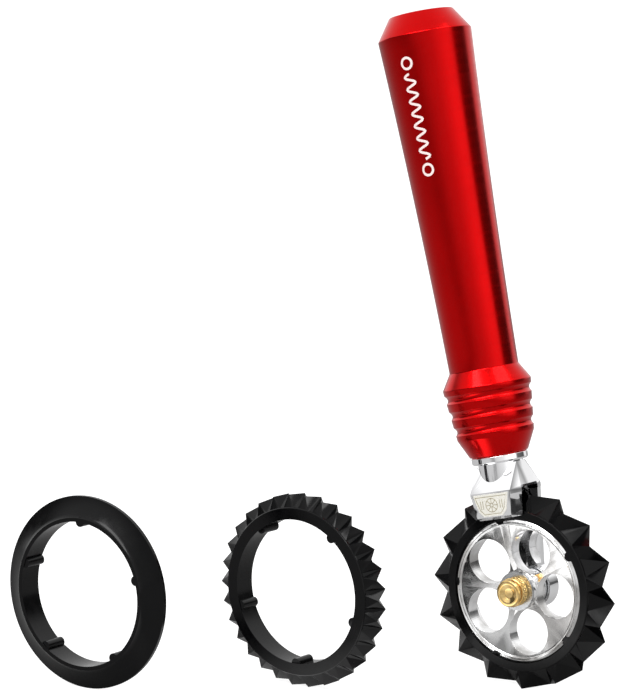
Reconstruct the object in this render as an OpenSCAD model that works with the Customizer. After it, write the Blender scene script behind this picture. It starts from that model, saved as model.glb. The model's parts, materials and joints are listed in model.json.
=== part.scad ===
// Pastry cutter wheel with a leaning turned handle, a one-sided fork, a fitted
// zigzag cutting ring and two spare rings that stand beside it on the table.
// Z is up from the table, the axle lies along Y, and the front is towards -Y.

/* [Handle] */
// Lean of the handle from upright, towards -X, in degrees
lean = 12.5; // [0:0.5:20]
// Distance from the axle to the handle's lower end
grip_start = 42.5; // [42:0.5:46]
// Length of the handle
grip_l = 138.2; // [120:0.1:150]
// Radius of the handle's lower end face
grip_end_r = 9.1; // [9:0.1:10]
// Radius at the lower end of the ribbed band
band_low_r = 12; // [11:0.1:13]
// Radius at the upper end of the ribbed band
band_high_r = 13.8; // [13:0.1:15]
// Radius of the waist above the ribbed band
waist_r = 10.8; // [10:0.1:12]
// Radius of the swell at the top of the handle
swell_r = 14.6; // [13:0.1:16]
// Radius of the flat top face
top_r = 10; // [8:0.1:12]
// Depth of the finger grooves in the ribbed band
groove_d = 0.7; // [0.2:0.1:1]
// Height of each finger groove
groove_h = 2.6; // [1.5:0.1:3]

/* [Fork] */
// Distance from the axle to the knee, where the sloping crown meets the prongs
knee_s = 31.6; // [31:0.1:34]
// Half the width of the slot that the cutting ring turns in
slot_half = 4.6; // [4.3:0.1:5]
// Half the thickness of the fork, front to back
fork_half = 8.9; // [8:0.1:10]
// Distance from the axle to the lower end of the front prong
prong_end_s = 23.1; // [22:0.1:26]
// Radius of the boss that carries the axle
boss_r = 7; // [6:0.1:8]

/* [Wheel] */
// Radius of the hub disc
hub_r = 22.5; // [22:0.1:23]
// Radius of each lightening hole
window_r = 7; // [5:0.1:7]
// Radius of the circle that the lightening holes lie on
window_pcr = 13.2; // [13:0.1:13.4]
// Number of lightening holes and of key lugs
keys = 5; // [3:1:6]
// Radius of the axle screw's plain journal
journal_r = 3; // [2.8:0.1:3]

/* [Cutting rings] */
// Radial play between the hub and a ring
ring_play = 0.05; // [0.02:0.01:0.1]
// Radius of each key lug inside a ring
lug_r = 1.55; // [1.2:0.05:1.8]
// Teeth of the fitted zigzag ring
coarse_teeth = 15; // [12:1:18]
// Tip radius of the fitted zigzag ring
coarse_tip_r = 30.7; // [30:0.05:31]
// Teeth of the fine spare ring
fine_teeth = 30; // [24:1:36]
// Tip radius of both spare rings
spare_tip_r = 30.1; // [29.5:0.05:31]
// Turn of the smooth spare ring about Z, in degrees
smooth_turn = 2; // [0:0.5:5]

/* [Hidden] */
$fn = 96;
eps = 0.01;
run_play = 0.05;

// Turned handle
grip_end = grip_start + grip_l;
chamfer_s = grip_start + 5.9;
band_end = grip_start + 21.8;
waist_s = grip_start + 26.8;
swell_s = grip_end - 6.8;
grooves = 3;
groove_pitch = 5.05;
groove_first = chamfer_s + 2.9;
waist_dip = 0.5;
insert_r = 6;
insert_l = 22;
socket_l = 24;
stud_r = 4;
stud_low = 34;
stud_high = 62;

// Fork
neck_top = grip_start - 2.5;
neck_r = 7;
neck_low = 34.5;
collar_r = 8.8;
crown_x = [8.9, 7.2];
crown_top = [neck_top - 0.5, 3.7];
bevel_x = 1.5;
slot_roof = knee_s + 0.7;
prong_end_x = 6.2;
arm_mid = [7.2, 20];
arm_low = [5.2, 7];
boss_front = -4.4;
boss_rear = -9.6;
bush_r = 4;
thread_r = 2.5;
badge_top_s = knee_s - 0.5;
badge_low_s = prong_end_s + 1.1;
badge_top_x = 6.4;
badge_low_x = 5;
badge_recess = 0.4;
badge_proud = 0.25;

// Axle stack, measured along the axle from the wheel's middle plane to the front
spacer_rear = -3.8;
spacer_front = -3.2;
hub_rear = -3.1;
web_rear = -1.6;
web_front = 3.5;
web_dish = 1.4;
rim_rear = -3.5;
rim_front = 3.8;
washer_rear = 3.6;
washer_front = 4.3;
knurl_front = 7.3;
knob_front = 9;
washer_r = 6;
bush_outer_r = 4.5;
knurl_r = 4.5;
knob_r = 4.2;
spigot_r = 2;
spigot_front = 7.6;
screw_end = -9.2;

// Rings
ring_bore_r = hub_r + ring_play;
ring_half = 3.85;
root_inset = 0.3;
coarse_collar_r = 25.3;
coarse_tip_f = 3.5;
coarse_phase = 8.5;
coarse_root_turns = [3, 5];
fine_collar_r = 26.3;
fine_tip_f = 2;
fine_phase = 5;
fine_root_turns = [5.5, 2.5];
lug_inset = 0.3;
lug_turn = 55;
fine_lug_turn = 36;
smooth_lug_turn = 1;
window_turn = 19;
smooth_half = 4.1;
smooth_rim = 1.2;
edge_half = 0.6;

// Places of the three rings' centres, before the whole set is centred
fine_gap = [-56, -39];
smooth_gap = [-107.8, -80.8];

// The set's box, so that its origin is at the middle of its base
smooth_reach_x = spare_tip_r * cos(smooth_turn) + edge_half * sin(smooth_turn);
smooth_reach_y = (ring_bore_r + smooth_rim) * sin(smooth_turn) + smooth_half * cos(smooth_turn);
flank_reach_y = spare_tip_r * sin(smooth_turn) + edge_half * cos(smooth_turn);
coarse_step = 180 / coarse_teeth;
tip_reach_x = max([for (i = [0:2 * coarse_teeth - 1])
                   coarse_tip_r * sin(coarse_phase + i * coarse_step)]);
low_tip = max([for (i = [0:2 * coarse_teeth - 1])
               -coarse_tip_r * cos(coarse_phase + i * coarse_step)]);
low_x = smooth_gap[0] - smooth_reach_x;
low_y = smooth_gap[1] - max(smooth_reach_y, flank_reach_y);
axle_pos = [-(low_x + tip_reach_x) / 2, -(low_y + swell_r) / 2, low_tip];
fine_low = max([for (i = [0:2 * fine_teeth - 1])
                -spare_tip_r * cos(fine_phase + i * 180 / fine_teeth)]);
fine_pos = [axle_pos[0] + fine_gap[0], axle_pos[1] + fine_gap[1], fine_low];
smooth_pos = [axle_pos[0] + smooth_gap[0], axle_pos[1] + smooth_gap[1], spare_tip_r];

// Frames: a wheel's (x right, y up, z to the front), the handle's (z along it)
// and the fork's (x across, y along the handle, z to the front)
module wheel_frame(pos, turn = 0) translate(pos) rotate([0, 0, turn]) rotate([90, 0, 0]) children();
module handle_frame() translate(axle_pos) rotate([0, -lean, 0]) children();
module fork_frame() handle_frame() rotate([90, 0, 0]) children();

// A tube along z
module tube(outer_r, inner_r, low, high) {
    translate([0, 0, low]) difference() {
        cylinder(r = outer_r, h = high - low);
        translate([0, 0, -1]) cylinder(r = inner_r, h = high - low + 2);
    }
}

// Children repeated at every key, clockwise from the top as seen from the front
module at_keys(turn) for (k = [0:keys - 1]) rotate(-turn - k * 360 / keys) children();

// Outline of one concave finger groove, in (radius, height), from bottom to top
function band_r(s) = band_low_r + (band_high_r - band_low_r) * (s - chamfer_s) / (band_end - chamfer_s);
function groove(s) = [for (t = [-1:0.25:1])
    [band_r(s + t * groove_h / 2) - groove_d * (1 - t * t), s + t * groove_h / 2]];
function taper(n) = [for (i = [1:n - 1]) let (t = i / n)
    [waist_r + (swell_r - waist_r) * t - waist_dip * 4 * t * (1 - t), waist_s + (swell_s - waist_s) * t]];

module handle_grip() {
    outline = concat(
        [[insert_r, grip_start], [grip_end_r, grip_start], [band_low_r, chamfer_s]],
        [for (i = [0:grooves - 1]) each groove(groove_first + i * groove_pitch)],
        [[band_high_r, band_end], [waist_r, waist_s]],
        taper(8),
        [[swell_r, swell_s], [top_r, grip_end], [0, grip_end],
         [0, grip_start + socket_l], [insert_r, grip_start + socket_l]]);
    color("firebrick") handle_frame() rotate_extrude() polygon(outline);
}

module handle_insert() {
    color("silver") handle_frame() tube(insert_r, stud_r, grip_start, grip_start + insert_l);
}

module fork_stud() {
    color("gray") handle_frame() translate([0, 0, stud_low]) cylinder(r = stud_r, h = stud_high - stud_low);
}

module neck_collar() {
    color("gainsboro") handle_frame() rotate_extrude() polygon([
        [stud_r, neck_top], [collar_r - 0.5, neck_top], [collar_r, neck_top + 0.5],
        [collar_r, grip_start - 0.4], [collar_r - 0.4, grip_start], [stud_r, grip_start]]);
}

// A bevelled slab across the fork at one height: half-widths at the slot and at the face
module fork_slice(s, x_slot, x_face, f_slot, f_face) {
    translate([0, s, 0]) rotate([-90, 0, 0]) linear_extrude(eps)
        polygon([[-x_slot, -f_slot], [-x_face, -f_face], [x_face, -f_face], [x_slot, -f_slot]]);
}

// The crown between the two prongs, widening from the neck down to the knee
module crown() {
    hull() {
        for (side = [1, -1]) {
            for (s = [slot_roof - 2, knee_s])
                mirror([0, 0, side < 0 ? 1 : 0])
                    fork_slice(s, crown_x[0], crown_x[0] - bevel_x, slot_half, fork_half);
            mirror([0, 0, side < 0 ? 1 : 0])
                fork_slice(crown_top[0], crown_x[1], crown_x[1] - 0.6, 2.4, crown_top[1]);
        }
    }
}

module front_prong() {
    hull() {
        fork_slice(knee_s, crown_x[0], crown_x[0] - bevel_x, slot_half, fork_half);
        fork_slice(prong_end_s + 0.8, prong_end_x + bevel_x, prong_end_x, slot_half, fork_half);
        fork_slice(prong_end_s, prong_end_x + bevel_x - 0.4, prong_end_x - 0.4, slot_half, fork_half - 0.9);
    }
}

module rear_arm() {
    mirror([0, 0, 1]) hull() {
        fork_slice(knee_s, crown_x[0], crown_x[0] - bevel_x, slot_half, fork_half);
        fork_slice(arm_mid[1], arm_mid[0], arm_mid[0] - bevel_x, slot_half, fork_half);
    }
    mirror([0, 0, 1]) hull() {
        fork_slice(arm_mid[1], arm_mid[0], arm_mid[0] - bevel_x, slot_half, fork_half);
        fork_slice(arm_low[1], arm_low[0], arm_low[0] - bevel_x, slot_half, fork_half);
    }
    translate([0, 0, -fork_half]) linear_extrude(fork_half - slot_half)
        polygon([[-3, 0], [3, 0], [arm_low[0] - bevel_x, arm_low[1]], [-arm_low[0] + bevel_x, arm_low[1]]]);
}

// Outline of the badge and of its recess, in (across, along the handle)
module badge_outline(grow = 0) {
    polygon([[-badge_top_x - grow, badge_top_s + grow], [badge_top_x + grow, badge_top_s + grow],
             [badge_low_x + grow, badge_low_s + 1.6], [badge_low_x - 1.6, badge_low_s - grow],
             [1.6 - badge_low_x, badge_low_s - grow], [-badge_low_x - grow, badge_low_s + 1.6]]);
}

module fork_body() {
    color("gainsboro") fork_frame() difference() {
        union() {
            crown();
            front_prong();
            rear_arm();
            translate([0, neck_low, 0]) rotate([-90, 0, 0]) cylinder(r = neck_r, h = neck_top - neck_low);
            translate([0, 0, boss_rear]) cylinder(r = boss_r, h = boss_front - boss_rear);
        }
        translate([-20, 0, -slot_half]) cube([40, slot_roof, 2 * slot_half]);
        translate([0, stud_low, 0]) rotate([-90, 0, 0]) cylinder(r = stud_r, h = neck_top - stud_low + 1);
        translate([0, 0, boss_rear - 1]) cylinder(r = bush_r, h = boss_front - boss_rear + 2);
        translate([0, 0, fork_half - badge_recess]) linear_extrude(1) badge_outline();
    }
}

module badge_plate() {
    color("khaki") fork_frame() translate([0, 0, fork_half - badge_recess])
        linear_extrude(badge_recess + badge_proud) badge_outline();
}

module arm_bush() {
    color("darkgray") fork_frame() tube(bush_r, thread_r, boss_rear, boss_front);
}

// Dished spring washer that takes up the wheel's end play
module spring_washer() {
    r_in = journal_r + run_play;
    r_out = boss_r - 1;
    thick = 0.25;
    color("dimgray") wheel_frame(axle_pos) rotate_extrude() polygon([
        [r_in, boss_front], [r_in, boss_front + thick],
        [r_out, spacer_rear], [r_out, spacer_rear - thick]]);
}

module rear_spacer() {
    color("silver") wheel_frame(axle_pos) tube(boss_r - 1, journal_r + run_play, spacer_rear, spacer_front);
}

module hub_disc() {
    groove_r = 0.95 * hub_r;
    rim_in_r = window_pcr + window_r + 0.3;
    boss_out_r = window_pcr - window_r - 0.1;
    color("gainsboro") wheel_frame(axle_pos) difference() {
        rotate_extrude() polygon([
            [bush_outer_r, hub_rear], [boss_out_r, hub_rear], [boss_out_r, web_rear],
            [rim_in_r, web_rear], [rim_in_r, rim_rear], [hub_r - 0.3, rim_rear],
            [hub_r, rim_rear + 0.3], [hub_r, rim_front - 0.5], [groove_r + 0.3, rim_front],
            [groove_r, rim_front - 0.4], [groove_r - 0.3, rim_front],
            [rim_in_r + 0.3, rim_front], [rim_in_r - 0.1, web_front],
            [boss_out_r, web_front - web_dish], [boss_out_r, web_front], [bush_outer_r, web_front]]);
        at_keys(window_turn) translate([0, window_pcr, -5]) cylinder(r = window_r, h = 10);
        at_keys(lug_turn) translate([0, ring_bore_r, -5]) cylinder(r = lug_r + ring_play, h = 10);
    }
}

module hub_bush() {
    color("peru") wheel_frame(axle_pos) tube(bush_outer_r, journal_r + run_play, hub_rear, web_front);
}

// Half-round key lugs standing in a ring's bore, set in a little from its faces
module key_lugs(turn, half) {
    length = 2 * (half - lug_inset);
    at_keys(turn) translate([0, ring_bore_r, -length / 2]) cylinder(r = lug_r, h = length);
}

// A point at a radius, an angle clockwise from the top, and a height to the front
function around(r, a, f) = [r * sin(a), r * cos(a), f];

// Solid disc whose edge zigzags between a front and a rear row of tips. Flat facets run
// from the edge in to roots just under the ring's round collar. root_turns says how far
// round from its tip the root of a ridge lies, and then that of a valley.
module zigzag_disc(teeth, tip_r, tip_f, phase, collar_r, root_turns) {
    n = 2 * teeth;
    step = 360 / n;
    root_r = collar_r - root_inset;
    root_f = ring_half - root_inset;
    function face(i) = i % 2 == 0 ? 1 : -1;
    function tip(i) = around(tip_r, phase + i * step, face(i) * tip_f);
    function root(i, side) = around(root_r, phase + i * step
        + side * (face(i) == side ? root_turns[0] : root_turns[1]), side * root_f);
    tips = [for (i = [0:n - 1]) tip(i)];
    fronts = [for (i = [0:n - 1]) root(i, 1)];
    rears = [for (i = [0:n - 1]) root(i, -1)];
    polyhedron(concat(tips, fronts, rears, [[0, 0, root_f], [0, 0, -root_f]]), [
        for (i = [0:n - 1]) let (j = (i + 1) % n) each [
            [3 * n, n + i, n + j], [n + i, i, j], [n + i, j, n + j],
            [3 * n + 1, 2 * n + j, 2 * n + i], [i, 2 * n + i, 2 * n + j], [i, 2 * n + j, j]]]);
}

module zigzag_ring(teeth, tip_r, tip_f, phase, collar_r, root_turns, turn) {
    chamfer = 0.25;
    difference() {
        union() {
            zigzag_disc(teeth, tip_r, tip_f, phase, collar_r, root_turns);
            rotate_extrude() polygon([
                [0, -ring_half], [collar_r - chamfer, -ring_half], [collar_r, chamfer - ring_half],
                [collar_r, ring_half - chamfer], [collar_r - chamfer, ring_half], [0, ring_half]]);
        }
        translate([0, 0, -10]) cylinder(r = ring_bore_r, h = 20);
    }
    key_lugs(turn, ring_half);
}

module cutting_ring() {
    color("dimgray") wheel_frame(axle_pos)
        zigzag_ring(coarse_teeth, coarse_tip_r, coarse_tip_f, coarse_phase,
                    coarse_collar_r, coarse_root_turns, lug_turn);
}

module knob_washer() {
    color("silver") wheel_frame(axle_pos) tube(washer_r, journal_r + run_play, washer_rear, washer_front);
}

module axle_screw() {
    color("gray") wheel_frame(axle_pos) rotate_extrude() polygon([
        [0, screw_end], [thread_r - run_play - 0.5, screw_end], [thread_r - run_play, screw_end + 0.5],
        [thread_r - run_play, boss_front], [journal_r, boss_front], [journal_r, washer_front],
        [spigot_r, washer_front], [spigot_r, spigot_front], [0, spigot_front]]);
}

module thumb_knob() {
    dish_r = 2.6;
    dish_d = 0.7;
    color("goldenrod") wheel_frame(axle_pos) rotate_extrude() polygon([
        [spigot_r, washer_front], [knurl_r - 0.3, washer_front], [knurl_r, washer_front + 0.3],
        [knurl_r, knurl_front - 0.3], [knurl_r - 0.3, knurl_front], [knob_r - 0.3, knurl_front],
        [knob_r - 0.3, knurl_front + 0.4], [knob_r, knurl_front + 0.4], [knob_r, knob_front - 0.4],
        [knob_r - 0.4, knob_front], [dish_r, knob_front], [dish_r - 1.4, knob_front - dish_d],
        [0, knob_front - dish_d], [0, spigot_front], [spigot_r, spigot_front]]);
}

module spare_ring_fine() {
    color("dimgray") wheel_frame(fine_pos)
        zigzag_ring(fine_teeth, spare_tip_r, fine_tip_f, fine_phase,
                    fine_collar_r, fine_root_turns, fine_lug_turn);
}

// One side of the smooth ring's section: flat rim, small step and hollow flank
function flank(side) = let (
    step_r = ring_bore_r + smooth_rim + 0.3, step_f = smooth_half - 0.4,
    hollow = 0.25) concat(
    [[ring_bore_r, side * smooth_half], [ring_bore_r + smooth_rim, side * smooth_half]],
    [for (t = [0:0.125:1]) [step_r + (spare_tip_r - step_r) * t,
                            side * (edge_half + (step_f - edge_half) * (1 - t) * (1 - hollow * t))]]);

module spare_ring_smooth() {
    front = flank(1);
    rear = flank(-1);
    color("dimgray") wheel_frame(smooth_pos, smooth_turn) {
        rotate_extrude() polygon(concat(front, [for (i = [len(rear) - 1:-1:0]) rear[i]]));
        key_lugs(smooth_lug_turn, smooth_half);
    }
}

handle_grip();
handle_insert();
fork_stud();
neck_collar();
fork_body();
badge_plate();
arm_bush();
spring_washer();
rear_spacer();
hub_disc();
hub_bush();
cutting_ring();
knob_washer();
axle_screw();
thumb_knob();
spare_ring_fine();
spare_ring_smooth();
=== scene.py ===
"""Looks of the pastry cutter wheel: turned red handle, chromed fork and hub,
black cutting rings and a brass knob, on a plain white studio floor."""
import json
import math

import bmesh
import bpy
from mathutils import Matrix, Vector

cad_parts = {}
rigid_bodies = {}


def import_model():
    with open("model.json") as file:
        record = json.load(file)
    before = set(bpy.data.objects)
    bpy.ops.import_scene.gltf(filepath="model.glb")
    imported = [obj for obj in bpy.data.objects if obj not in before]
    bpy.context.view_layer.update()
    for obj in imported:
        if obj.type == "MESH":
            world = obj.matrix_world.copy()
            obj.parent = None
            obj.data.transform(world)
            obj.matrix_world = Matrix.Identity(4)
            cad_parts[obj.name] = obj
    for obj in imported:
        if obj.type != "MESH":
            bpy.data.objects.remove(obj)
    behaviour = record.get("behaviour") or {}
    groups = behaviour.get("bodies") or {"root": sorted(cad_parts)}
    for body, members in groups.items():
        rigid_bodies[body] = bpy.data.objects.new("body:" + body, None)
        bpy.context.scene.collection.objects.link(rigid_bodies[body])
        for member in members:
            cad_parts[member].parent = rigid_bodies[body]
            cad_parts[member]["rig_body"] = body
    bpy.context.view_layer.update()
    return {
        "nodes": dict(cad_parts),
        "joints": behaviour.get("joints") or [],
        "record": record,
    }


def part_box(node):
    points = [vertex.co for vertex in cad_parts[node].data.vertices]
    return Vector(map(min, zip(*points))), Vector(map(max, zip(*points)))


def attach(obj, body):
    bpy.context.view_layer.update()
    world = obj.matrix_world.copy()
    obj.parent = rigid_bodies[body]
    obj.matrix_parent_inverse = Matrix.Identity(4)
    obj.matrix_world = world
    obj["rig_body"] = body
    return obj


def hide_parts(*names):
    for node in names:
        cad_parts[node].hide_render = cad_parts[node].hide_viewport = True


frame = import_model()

MM = 0.001
TAU = 2 * math.pi
NODES = frame["nodes"]
JOINTS = {j["name"]: j for j in frame["joints"]}

# ---------------------------------------------------------------- places
AXLE = Vector(JOINTS["wheel_spin"]["pos_m"])
MOUNT_AXES = {m["name"]: Vector(m["axis"]) for m in frame["record"]["mounts"]}
LEAN = math.atan2(-MOUNT_AXES["hand_grip"].x, MOUNT_AXES["hand_grip"].z)
FINE_CENTRE = (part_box("spare_ring_fine")[0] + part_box("spare_ring_fine")[1]) / 2
SMOOTH_CENTRE = (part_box("spare_ring_smooth")[0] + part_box("spare_ring_smooth")[1]) / 2
SMOOTH_TURN = math.atan2(MOUNT_AXES["smooth_ring_seat"].x, -MOUNT_AXES["smooth_ring_seat"].y)

# Frames: along the handle (z up the handle), across the fork (z to the front),
# and a ring's own (x right, y up, z to the front)
HANDLE_FRAME = Matrix.Translation(AXLE) @ Matrix.Rotation(-LEAN, 4, "Y")
TO_FRONT = Matrix.Rotation(math.pi / 2, 4, "X")
FORK_FRAME = HANDLE_FRAME @ TO_FRONT
WHEEL_FRAME = Matrix.Translation(AXLE) @ TO_FRONT
FINE_FRAME = Matrix.Translation(FINE_CENTRE) @ TO_FRONT
SMOOTH_FRAME = Matrix.Translation(SMOOTH_CENTRE) @ Matrix.Rotation(SMOOTH_TURN, 4, "Z") @ TO_FRONT

# ---------------------------------------------------------------- camera
VIEW_AZIMUTH = math.radians(36)
VIEW_ELEVATION = math.radians(7.3)
VIEW_DISTANCE = 0.927
VIEW_LENS = 156.5
AIM_LEFT = 0.0659
AIM_UP = 0.0754


def view_axes():
    """Right, up and towards-the-camera directions of the main view."""
    sa, ca = math.sin(VIEW_AZIMUTH), math.cos(VIEW_AZIMUTH)
    se, ce = math.sin(VIEW_ELEVATION), math.cos(VIEW_ELEVATION)
    return Vector((ca, sa, 0)), Vector((-sa * se, ca * se, ce)), Vector((sa * ce, -ca * ce, se))


def bearing(angle):
    """A level direction, at an angle to the right of the main view's side."""
    right, _, back = view_axes()
    return Vector((back.x, back.y, 0)).normalized() * math.cos(angle) + right * math.sin(angle)


def make_camera():
    right, up, back = view_axes()
    data = bpy.data.cameras.new("camera")
    data.lens = VIEW_LENS
    data.sensor_width = 36
    data.clip_start = 0.05
    data.clip_end = 200
    camera = bpy.data.objects.new("camera", data)
    bpy.context.scene.collection.objects.link(camera)
    rotation = Matrix((right, up, back)).transposed().to_4x4()
    eye = AXLE - right * AIM_LEFT + up * AIM_UP + back * VIEW_DISTANCE
    camera.matrix_world = Matrix.Translation(eye) @ rotation
    bpy.context.scene.camera = camera


# ---------------------------------------------------------------- materials
RED = (0.62, 0.0008, 0.0014)
DARK_RED = (0.56, 0.0005, 0.001)


def new_material(name, colour, metallic, roughness, **inputs):
    """A Principled material; returns it with its node tree and shader."""
    material = bpy.data.materials.new(name)
    material.use_nodes = True
    tree = material.node_tree
    shader = tree.nodes["Principled BSDF"]
    shader.inputs["Base Color"].default_value = (*colour, 1)
    shader.inputs["Metallic"].default_value = metallic
    shader.inputs["Roughness"].default_value = roughness
    for key, value in inputs.items():
        shader.inputs[key.replace("_", " ")].default_value = value
    return material, tree, shader


def object_coords(tree, scale=(1, 1, 1)):
    coords = tree.nodes.new("ShaderNodeTexCoord")
    mapping = tree.nodes.new("ShaderNodeMapping")
    mapping.inputs["Scale"].default_value = scale
    tree.links.new(coords.outputs["Object"], mapping.inputs["Vector"])
    return mapping.outputs["Vector"]


def noise(tree, scale, detail=3, stretch=(1, 1, 1)):
    node = tree.nodes.new("ShaderNodeTexNoise")
    node.inputs["Scale"].default_value = scale
    node.inputs["Detail"].default_value = detail
    tree.links.new(object_coords(tree, stretch), node.inputs["Vector"])
    return node.outputs["Fac"]


def remap(tree, value, low, high, from_low=0.3, from_high=0.7):
    node = tree.nodes.new("ShaderNodeMapRange")
    node.inputs["From Min"].default_value = from_low
    node.inputs["From Max"].default_value = from_high
    node.inputs["To Min"].default_value = low
    node.inputs["To Max"].default_value = high
    tree.links.new(value, node.inputs["Value"])
    return node.outputs["Result"]


def add_bump(tree, shader, height, distance, strength=1.0, after=None):
    node = tree.nodes.new("ShaderNodeBump")
    node.inputs["Distance"].default_value = distance
    node.inputs["Strength"].default_value = strength
    tree.links.new(height, node.inputs["Height"])
    if after is not None:
        tree.links.new(after, node.inputs["Normal"])
    tree.links.new(node.outputs["Normal"], shader.inputs["Normal"])
    return node.outputs["Normal"]


def mix_colour(tree, factor, low, high):
    node = tree.nodes.new("ShaderNodeMix")
    node.data_type = "RGBA"
    node.inputs["A"].default_value = (*low, 1)
    node.inputs["B"].default_value = (*high, 1)
    tree.links.new(factor, node.inputs["Factor"])
    return node.outputs["Result"]


def turning_lines(tree, pitch, wobble=2.0):
    """Rings left by a lathe tool, around the object's z axis."""
    node = tree.nodes.new("ShaderNodeTexWave")
    node.wave_type = "BANDS"
    node.bands_direction = "Z"
    node.inputs["Scale"].default_value = TAU / 20 / pitch
    node.inputs["Distortion"].default_value = wobble
    node.inputs["Detail"].default_value = 2
    node.inputs["Detail Scale"].default_value = 0.5
    tree.links.new(object_coords(tree), node.inputs["Vector"])
    return node.outputs["Fac"]


def ring_lines(tree, pitch):
    """Concentric tool marks on a face that is square to the object's z axis."""
    node = tree.nodes.new("ShaderNodeTexWave")
    node.wave_type = "RINGS"
    node.rings_direction = "Z"
    node.inputs["Scale"].default_value = TAU / 20 / pitch
    node.inputs["Distortion"].default_value = 1
    tree.links.new(object_coords(tree), node.inputs["Vector"])
    return node.outputs["Fac"]


def radial_tangent(tree, shader):
    node = tree.nodes.new("ShaderNodeTangent")
    node.direction_type = "RADIAL"
    node.axis = "Z"
    tree.links.new(node.outputs["Tangent"], shader.inputs["Tangent"])


def anodised_red():
    """Dyed aluminium: turned rings and fine streaks under a thin clear oxide."""
    material, tree, shader = new_material(
        "anodised_red", RED, 1, 0.2,
        Anisotropic=0.5, Coat_Weight=0.1, Coat_Roughness=0.12, Coat_IOR=1.5)
    radial_tangent(tree, shader)
    cloud = remap(tree, noise(tree, 60, 4), 0, 1)
    tree.links.new(mix_colour(tree, cloud, DARK_RED, RED), shader.inputs["Base Color"])
    streak = noise(tree, 900, 2, (0.04, 0.04, 1))
    tree.links.new(remap(tree, streak, 0.17, 0.24), shader.inputs["Roughness"])
    turned = add_bump(tree, shader, turning_lines(tree, 0.16 * MM), 0.003 * MM, 0.4)
    add_bump(tree, shader, streak, 0.001 * MM, 0.4, turned)
    return material


def chrome():
    """Polished plate over a casting that isn't quite flat."""
    material, tree, shader = new_material("chrome", (0.95, 0.95, 0.96), 1, 0.05)
    tree.links.new(remap(tree, noise(tree, 250, 4), 0.03, 0.08), shader.inputs["Roughness"])
    add_bump(tree, shader, noise(tree, 160, 2), 0.03 * MM, 0.8)
    return material


def hub_chrome():
    """The hub disc: bright plate over fine concentric turning, with darker patches in its colour that
    are painted dark reflections.
    """
    material, tree, shader = new_material("hub_chrome", (0.92, 0.92, 0.92), 1, 0.12, Anisotropic=0.6)
    radial_tangent(tree, shader)
    patch = noise(tree, 130, 4)
    tree.links.new(remap(tree, patch, 0.06, 0.2), shader.inputs["Roughness"])
    # Noise-driven darker patches in the base colour are painted dark reflections on the mirror face.
    painted_dark_reflection = remap(tree, noise(tree, 90, 5), 0, 1, 0.42, 0.6)
    tree.links.new(mix_colour(tree, painted_dark_reflection, (0.94, 0.94, 0.94), (0.5, 0.49, 0.48)),
                   shader.inputs["Base Color"])
    turned = add_bump(tree, shader, ring_lines(tree, 0.2 * MM), 0.003 * MM, 0.5)
    grain = add_bump(tree, shader, noise(tree, 3000, 3), 0.003 * MM, 0.6, turned)
    add_bump(tree, shader, noise(tree, 110, 2), 0.05 * MM, 0.7, grain)
    return material


def black_plastic():
    """Moulded acetal: near black, glossy, with a trace of mould grain."""
    material, tree, shader = new_material(
        "black_plastic", (0.0010, 0.0010, 0.0012), 0, 0.2, Specular_IOR_Level=0.18)
    tree.links.new(remap(tree, noise(tree, 350, 4), 0.13, 0.24), shader.inputs["Roughness"])
    grain = add_bump(tree, shader, noise(tree, 5000, 3), 0.003 * MM, 0.5)
    add_bump(tree, shader, noise(tree, 300, 2), 0.02 * MM, 0.5, grain)
    return material


def brass():
    material, tree, shader = new_material("brass", (0.84, 0.58, 0.22), 1, 0.16)
    tree.links.new(remap(tree, noise(tree, 900, 4), 0.1, 0.24), shader.inputs["Roughness"])
    stain = remap(tree, noise(tree, 400, 5), 0, 1, 0.35, 0.65)
    tree.links.new(mix_colour(tree, stain, (0.70, 0.44, 0.14), (0.90, 0.66, 0.30)),
                   shader.inputs["Base Color"])
    add_bump(tree, shader, turning_lines(tree, 0.1 * MM), 0.004 * MM, 0.5)
    return material


def plain_metal(name, colour, roughness, metallic=1):
    material, tree, shader = new_material(name, colour, metallic, roughness)
    tree.links.new(remap(tree, noise(tree, 700, 5), roughness * 0.75, roughness * 1.3),
                   shader.inputs["Roughness"])
    add_bump(tree, shader, noise(tree, 2500, 3, (1, 1, 0.1)), 0.006 * MM, 0.5)
    return material


def ink(name, dark, light):
    """Printed or filled ink, a little uneven."""
    material, tree, shader = new_material(name, light, 0, 0.5)
    tree.links.new(mix_colour(tree, remap(tree, noise(tree, 1500, 3), 0, 1), dark, light),
                   shader.inputs["Base Color"])
    add_bump(tree, shader, noise(tree, 4000, 2), 0.004 * MM, 0.5)
    return material


# ---------------------------------------------------------------- mesh building
def add_object(name, mesh, matrix, body, material):
    """Puts a mesh made in a local frame, in metres, into place on a CAD body."""
    piece = bpy.data.objects.new(name, mesh)
    bpy.context.scene.collection.objects.link(piece)
    piece.matrix_world = matrix
    mesh.materials.clear()
    mesh.materials.append(material)
    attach(piece, body)
    return piece


def smooth(mesh, degrees=30):
    for polygon in mesh.polygons:
        polygon.use_smooth = True
    mesh.set_sharp_from_angle(angle=math.radians(degrees))


def add_bevel(piece, width, segments=2, degrees=25):
    bevel = piece.modifiers.new("edge", "BEVEL")
    bevel.width = width
    bevel.segments = segments
    bevel.limit_method = "ANGLE"
    bevel.angle_limit = math.radians(degrees)
    bevel.use_clamp_overlap = True
    bevel.harden_normals = True
    bevel.miter_outer = "MITER_ARC"
    return bevel


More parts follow.
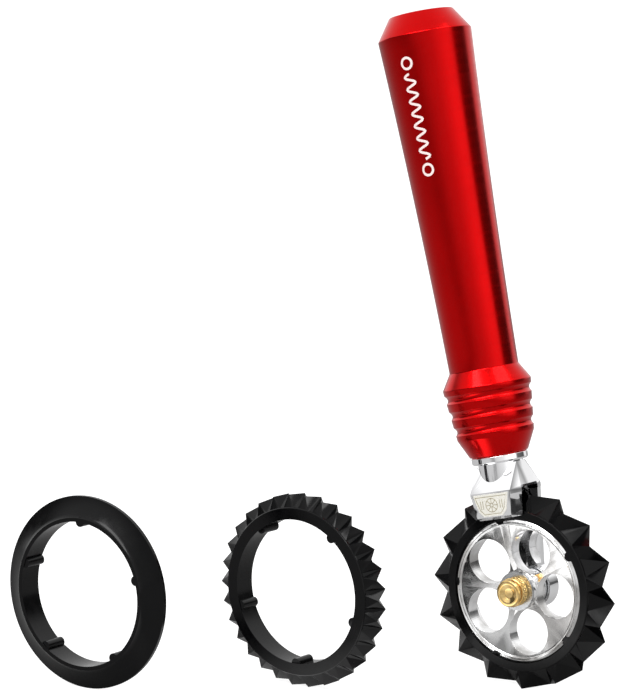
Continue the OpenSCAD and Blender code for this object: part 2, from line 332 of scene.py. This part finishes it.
def refine(node, matrix, material, bevel=0, segments=2, degrees=25):
    """A clean copy of a CAD node, welded, with flat faces merged and edges rounded."""
    source = NODES[node]
    bm = bmesh.new()
    bm.from_mesh(source.data)
    bmesh.ops.remove_doubles(bm, verts=bm.verts, dist=0.002 * MM)
    bmesh.ops.dissolve_limit(bm, angle_limit=math.radians(0.4), verts=bm.verts, edges=bm.edges)
    bm.transform(matrix.inverted())
    mesh = bpy.data.meshes.new(node + "_fine")
    bm.to_mesh(mesh)
    bm.free()
    smooth(mesh, degrees)
    piece = add_object(node + "_fine", mesh, matrix, source["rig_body"], material)
    if bevel:
        add_bevel(piece, bevel, segments, degrees)
    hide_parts(node)
    return piece


def round_corners(points, radius, steps=3):
    """Rounds each inner corner of an open (r, z) outline with an arc of a given radius."""
    out = [Vector(points[0])]
    for before, corner, after in zip(points, points[1:], points[2:]):
        p, a, b = Vector(corner), Vector(before), Vector(after)
        u, v = (a - p), (b - p)
        reach = min(radius, 0.45 * u.length, 0.45 * v.length)
        if u.angle(v) > math.radians(172) or reach < 1e-7:
            out.append(p)
            continue
        start, end = p + u.normalized() * reach, p + v.normalized() * reach
        for i in range(steps + 1):
            t = i / steps
            out.append(start * (1 - t) ** 2 + p * 2 * t * (1 - t) + end * t * t)
    out.append(Vector(points[-1]))
    return out


def lathe_mesh(name, outline, segments, closed=False, shape=None):
    """Turns an (r, z) outline round z. shape(r, z, angle) may move each point out or in."""
    bm = bmesh.new()
    rings = []
    for r, z in outline:
        if r < 1e-7:
            rings.append([bm.verts.new((0, 0, z))])
            continue
        ring = []
        for k in range(segments):
            a = TAU * k / segments
            rr = shape(r, z, a) if shape else r
            ring.append(bm.verts.new((rr * math.cos(a), rr * math.sin(a), z)))
        rings.append(ring)
    pairs = list(zip(rings, rings[1:]))
    if closed:
        pairs.append((rings[-1], rings[0]))
    for low, high in pairs:
        for k in range(segments):
            n = (k + 1) % segments
            corners = [low[k % len(low)], low[n % len(low)], high[n % len(high)], high[k % len(high)]]
            unique = []
            for c in corners:
                if c not in unique:
                    unique.append(c)
            if len(unique) > 2:
                bm.faces.new(unique)
    bmesh.ops.recalc_face_normals(bm, faces=bm.faces)
    mesh = bpy.data.meshes.new(name)
    bm.to_mesh(mesh)
    bm.free()
    return mesh


def mm(points):
    return [(r * MM, z * MM) for r, z in points]


# ---------------------------------------------------------------- the handle
GRIP_START = 42.5
GRIP_END = 180.7
GRIP_END_R = 9.1
CHAMFER_S = 48.4
BAND_END = 64.3
WAIST_S = 69.3
SWELL_S = 173.9
BAND_R = (12.0, 13.8)
WAIST_R = 10.8
SWELL_R = 14.6
TOP_R = 10.0
WAIST_DIP = 0.5
GROOVES = 3
GROOVE_H = 2.6
GROOVE_D = 0.7
GROOVE_FIRST = 51.3
GROOVE_PITCH = 5.05
SOCKET_R = 6.0
SOCKET_END = 66.5
GROOVE_STEPS = 8
TAPER_STEPS = 24
EDGE_R = 0.22 * MM


def band_r(s):
    return BAND_R[0] + (BAND_R[1] - BAND_R[0]) * (s - CHAMFER_S) / (BAND_END - CHAMFER_S)


def taper_r(t):
    return WAIST_R + (SWELL_R - WAIST_R) * t - WAIST_DIP * 4 * t * (1 - t)


def grip_outline():
    points = [(GRIP_END_R, GRIP_START), (BAND_R[0], CHAMFER_S)]
    for i in range(GROOVES):
        middle = GROOVE_FIRST + i * GROOVE_PITCH
        for k in range(-GROOVE_STEPS, GROOVE_STEPS + 1):
            t = k / GROOVE_STEPS
            s = middle + t * GROOVE_H / 2
            points.append((band_r(s) - GROOVE_D * (1 - t * t), s))
    points += [(BAND_R[1], BAND_END), (WAIST_R, WAIST_S)]
    for i in range(1, TAPER_STEPS):
        t = i / TAPER_STEPS
        points.append((taper_r(t), WAIST_S + (SWELL_S - WAIST_S) * t))
    points += [(SWELL_R, SWELL_S), (TOP_R, GRIP_END), (0, GRIP_END)]
    return points


def make_handle(material):
    outline = [(SOCKET_R, SOCKET_END), (SOCKET_R, GRIP_START)] + grip_outline()
    rounded = [Vector((0, SOCKET_END * MM))] + round_corners(mm(outline), EDGE_R)
    mesh = lathe_mesh("handle_shell", rounded, 192)
    smooth(mesh, 24)
    piece = add_object("handle_shell", mesh, HANDLE_FRAME, "handle", material)
    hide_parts("handle_grip")


PRINT_TURN = math.radians(4)
PRINT_S = (130.5, 166.9)
PRINT_HALF = 1.7
PRINT_LIFT = 0.02
PRINT_STROKE = 0.75
PRINT_END = 5
PRINT_WAVES = 7


def on_grip(across, s):
    """A point just above the handle's face, across mm round from the print's middle."""
    r = taper_r((s - WAIST_S) / (SWELL_S - WAIST_S)) + PRINT_LIFT
    angle = -math.pi / 2 + PRINT_TURN + across / r
    return Vector((r * math.cos(angle), r * math.sin(angle), s)) * MM


def ribbon(bm, path, width, place):
    """A flat band along a two-dimensional path, laid on a surface by place()."""
    last = None
    for i, p in enumerate(path):
        a = Vector(path[max(i - 1, 0)])
        b = Vector(path[min(i + 1, len(path) - 1)])
        side = (b - a).normalized().orthogonal() * width / 2
        pair = [bm.verts.new(place(*(Vector(p) + way * side))) for way in (1, -1)]
        if last:
            bm.faces.new((last[0], last[1], pair[1], pair[0]))
        last = pair


def ribbon_mesh(name, paths, width, place, facing):
    """One mesh of flat bands whose faces all look the way of facing(middle)."""
    bm = bmesh.new()
    for path in paths:
        ribbon(bm, path, width, place)
    bmesh.ops.remove_doubles(bm, verts=bm.verts, dist=0.001 * MM)
    bm.normal_update()
    turned = [f for f in bm.faces if f.normal.dot(facing(f.calc_center_median())) < 0]
    bmesh.ops.reverse_faces(bm, faces=turned)
    mesh = bpy.data.meshes.new(name)
    bm.to_mesh(mesh)
    bm.free()
    return mesh


def circle_path(x, y, radius, steps=32):
    return [(x + radius * math.cos(TAU * k / steps), y + radius * math.sin(TAU * k / steps))
            for k in range(steps + 1)]


def make_print(material):
    """A plain printed motif: a wavy cut line between two end rings."""
    low, high = PRINT_S
    start, end = low + PRINT_END, high - PRINT_END
    steps = PRINT_WAVES * 12
    wave = [(PRINT_HALF * math.sin(TAU * PRINT_WAVES * i / steps), start + (end - start) * i / steps)
            for i in range(steps + 1)]
    rings = [circle_path(0, s, PRINT_HALF) for s in (low + PRINT_HALF, high - PRINT_HALF)]
    mesh = ribbon_mesh("handle_print", [wave] + rings, PRINT_STROKE, on_grip,
                       lambda c: Vector((c.x, c.y, 0)))
    add_object("handle_print", mesh, HANDLE_FRAME, "handle", material)


# ---------------------------------------------------------------- the badge
BADGE_TOP_S = 31.1
BADGE_LOW_S = 24.2
BADGE_TOP_X = 6.4
BADGE_LOW_X = 5.0
BADGE_FACE = 9.15
BADGE_LIFT = 0.015
BADGE_MARGIN = 0.75
BADGE_STROKE = 0.22


def on_badge(x, s):
    return Vector((x, s, BADGE_FACE + BADGE_LIFT)) * MM


def make_badge_lines(material):
    """A plain engraving: a border round a small spoked wheel."""
    top, low = BADGE_TOP_S - BADGE_MARGIN, BADGE_LOW_S + BADGE_MARGIN
    wide, narrow, corner = BADGE_TOP_X - BADGE_MARGIN, BADGE_LOW_X - BADGE_MARGIN, 1.3
    border = [(-wide, top), (wide, top), (narrow, low + corner), (narrow - corner, low),
              (corner - narrow, low), (-narrow, low + corner), (-wide, top)]
    middle = (top + low) / 2
    rim, hub, spokes = 2.1, 0.55, 8
    paths = [border, circle_path(0, middle, rim), circle_path(0, middle, hub, 16)]
    for k in range(spokes):
        a = TAU * k / spokes
        paths.append([(hub * math.cos(a), middle + hub * math.sin(a)),
                      (rim * math.cos(a), middle + rim * math.sin(a))])
    for side in (-1, 1):
        for reach in (3.1, 3.9):
            paths.append([(side * reach, middle - 1.1), (side * reach, middle + 1.5)])
    mesh = ribbon_mesh("badge_lines", paths, BADGE_STROKE, on_badge, lambda c: Vector((0, 0, 1)))
    add_object("badge_lines", mesh, FORK_FRAME, "handle", material)


# ---------------------------------------------------------------- the knob
KNURL_R = 4.5
KNURL_START = 4.6
KNURL_END = 7.1
KNURL_MARGIN = 0.15 * MM
KNURL_FADE = 0.3 * MM
KNURL_DEPTH = 0.34 * MM
KNURL_RIDGES = 22
KNURL_CLIMB = 5 / MM
KNURL_STEPS = 28
KNOB_REAR = [(2.0, 4.3), (4.2, 4.3), (KNURL_R, KNURL_START)]
KNOB_FRONT = [(4.2, 7.3), (3.8, 7.3), (3.8, 7.7), (4.25, 7.7), (4.25, 8.5), (3.85, 9.0),
              (2.9, 9.0), (1.5, 8.2), (0, 8.2)]


def knurl(r, z, a):
    """Diamond knurling on the rear part of the knob."""
    low, high = KNURL_START * MM + KNURL_MARGIN, KNURL_END * MM - KNURL_MARGIN
    if not low < z < high:
        return r
    fade = min(1, (z - low) / KNURL_FADE, (high - z) / KNURL_FADE)
    rising = abs(math.sin((KNURL_RIDGES * a + KNURL_CLIMB * z) / 2))
    falling = abs(math.sin((KNURL_RIDGES * a - KNURL_CLIMB * z) / 2))
    return r - KNURL_DEPTH * (1 - rising * falling) * fade


def make_knob(material):
    length = KNURL_END - KNURL_START
    middle = [(KNURL_R, KNURL_START + length * i / KNURL_STEPS) for i in range(1, KNURL_STEPS + 1)]
    rounded = round_corners(mm(KNOB_REAR + middle + KNOB_FRONT), 0.14 * MM, 2)
    mesh = lathe_mesh("thumb_knob_fine", rounded, 208, shape=knurl)
    smooth(mesh, 40)
    piece = add_object("thumb_knob_fine", mesh, WHEEL_FRAME, "axle", material)
    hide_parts("thumb_knob")


# ---------------------------------------------------------------- studio
# Brightness of the room round the object: (degrees to the right of the main view's side, level)
ROOM = [(-180, 1.0), (-126, 1.1), (-116, 0.1), (-50, 0.3), (-32, 0.55), (-8, 0.75), (10, 0.85),
        (26, 1.1), (44, 1.4), (62, 1.4), (73, 0.15), (110, 0.08), (118, 0.9), (180, 1.0)]
OVERHEAD = 1.12
OVERHEAD_BLEND = (0.3, 0.52)
FLOOR_ALBEDO = 0.35
FLOOR_SEEN = 0.85
# A pool of light on the floor in front of the wheel, seen only in reflections
POOL_BEARING = math.radians(-65)
POOL_AWAY = 0.08
POOL_LIGHT = 1.6
POOL_RADII = (0.025, 0.055)
LIGHT_TARGET = AXLE + Vector((-0.03, 0, 0.03))
LIGHT_DISTANCE = 1.2


def seen_directly(tree):
    return tree.nodes.new("ShaderNodeLightPath").outputs["Is Camera Ray"]


def make_floor():
    """White where it is seen directly; in reflections, darker with a pool of light near the wheel."""
    bpy.ops.mesh.primitive_circle_add(vertices=96, radius=40, fill_type="NGON", location=(0, 0, 0))
    floor = bpy.context.object
    floor.name = "floor"
    albedo = (FLOOR_ALBEDO,) * 3
    material, tree, shader = new_material("floor_white", albedo, 0, 0.9, Specular_IOR_Level=0)
    shader.inputs["Emission Color"].default_value = (1, 1, 1, 1)
    distance = tree.nodes.new("ShaderNodeVectorMath")
    distance.operation = "DISTANCE"
    pool = AXLE + bearing(POOL_BEARING) * POOL_AWAY
    distance.inputs[1].default_value = (pool.x, pool.y, 0)
    tree.links.new(object_coords(tree), distance.inputs[0])
    mix = tree.nodes.new("ShaderNodeMix")
    mix.inputs["B"].default_value = FLOOR_SEEN
    tree.links.new(seen_directly(tree), mix.inputs["Factor"])
    tree.links.new(remap(tree, distance.outputs["Value"], POOL_LIGHT, 0, *POOL_RADII), mix.inputs["A"])
    tree.links.new(mix.outputs["Result"], shader.inputs["Emission Strength"])
    floor.data.materials.append(material)


def room_ramp(tree):
    """Soft boxes and dark flags round the object, as a ramp over the compass, under a pale ceiling."""
    _, _, back = view_axes()
    coords = tree.nodes.new("ShaderNodeTexCoord")
    turn = tree.nodes.new("ShaderNodeMapping")
    turn.inputs["Rotation"].default_value = (0, 0, -math.atan2(back.y, back.x))
    compass = tree.nodes.new("ShaderNodeTexGradient")
    compass.gradient_type = "RADIAL"
    ramp = tree.nodes.new("ShaderNodeValToRGB")
    stops = ramp.color_ramp.elements
    while len(stops) < len(ROOM):
        stops.new(0.5)
    for stop, (angle, level) in zip(stops, ROOM):
        stop.position = 0.5 + angle / 360
        stop.color = (level, level, level, 1)
    tree.links.new(coords.outputs["Generated"], turn.inputs["Vector"])
    tree.links.new(turn.outputs["Vector"], compass.inputs["Vector"])
    tree.links.new(compass.outputs["Fac"], ramp.inputs["Fac"])
    height = tree.nodes.new("ShaderNodeSeparateXYZ")
    tree.links.new(coords.outputs["Generated"], height.inputs["Vector"])
    mix = tree.nodes.new("ShaderNodeMix")
    mix.data_type = "RGBA"
    mix.inputs["B"].default_value = (OVERHEAD, OVERHEAD, OVERHEAD, 1)
    tree.links.new(remap(tree, height.outputs["Z"], 0, 1, *OVERHEAD_BLEND), mix.inputs["Factor"])
    tree.links.new(ramp.outputs["Color"], mix.inputs["A"])
    return mix.outputs["Result"]


def add_area(name, azimuth, elevation, size, power):
    """A soft box aimed at the tool, its azimuth measured from the main view."""
    e = math.radians(elevation)
    direction = bearing(math.radians(azimuth)) * math.cos(e) + Vector((0, 0, math.sin(e)))
    data = bpy.data.lights.new(name, "AREA")
    data.shape = "RECTANGLE"
    data.size, data.size_y = size
    data.energy = power
    light = bpy.data.objects.new(name, data)
    bpy.context.scene.collection.objects.link(light)
    light.location = LIGHT_TARGET + direction * LIGHT_DISTANCE
    light.rotation_euler = (-direction).to_track_quat("-Z", "Y").to_euler()


def make_light():
    """A room of soft boxes and flags, white wherever it is seen directly."""
    world = bpy.data.worlds.new("studio")
    bpy.context.scene.world = world
    world.use_nodes = True
    tree = world.node_tree
    mix = tree.nodes.new("ShaderNodeMix")
    mix.data_type = "RGBA"
    mix.inputs["B"].default_value = (1, 1, 1, 1)
    tree.links.new(seen_directly(tree), mix.inputs["Factor"])
    tree.links.new(room_ramp(tree), mix.inputs["A"])
    tree.links.new(mix.outputs["Result"], tree.nodes["Background"].inputs["Color"])
    add_area("left_light", -30, 48, (1.0, 0.35), 9)
    add_area("right_light", 58, 62, (0.6, 0.4), 3)
    scene = bpy.context.scene
    scene.view_settings.view_transform = "Standard"
    scene.view_settings.look = "None"


# ---------------------------------------------------------------- assembly
make_camera()
CHROME = chrome()
BLACK = black_plastic()
BRASS = brass()
STEEL = plain_metal("steel", (0.56, 0.57, 0.58), 0.25)
BRONZE = plain_metal("bearing_bronze", (0.66, 0.42, 0.2), 0.35)

make_handle(anodised_red())
make_print(ink("print_ink", (0.9, 0.72, 0.7), (0.97, 0.82, 0.8)))
make_knob(BRASS)
refine("neck_collar", HANDLE_FRAME, CHROME, 0.12 * MM)
refine("fork_body", FORK_FRAME, CHROME, 0.35 * MM, 3)
refine("badge_plate", FORK_FRAME, plain_metal("badge_metal", (0.90, 0.88, 0.80), 0.3, 0.3), 0.1 * MM)
make_badge_lines(ink("badge_ink", (0.30, 0.26, 0.16), (0.42, 0.37, 0.24)))
refine("hub_disc", WHEEL_FRAME, hub_chrome(), 0.15 * MM, 2)
refine("cutting_ring", WHEEL_FRAME, BLACK, 0.18 * MM, 2)
refine("spare_ring_fine", FINE_FRAME, BLACK, 0.15 * MM, 2)
refine("spare_ring_smooth", SMOOTH_FRAME, BLACK, 0.15 * MM, 2)
for node in ("handle_insert", "fork_stud"):
    refine(node, HANDLE_FRAME, STEEL)
for node in ("arm_bush", "spring_washer", "rear_spacer", "knob_washer", "axle_screw"):
    refine(node, WHEEL_FRAME, STEEL)
refine("hub_bush", WHEEL_FRAME, BRONZE)

make_floor()
make_light()
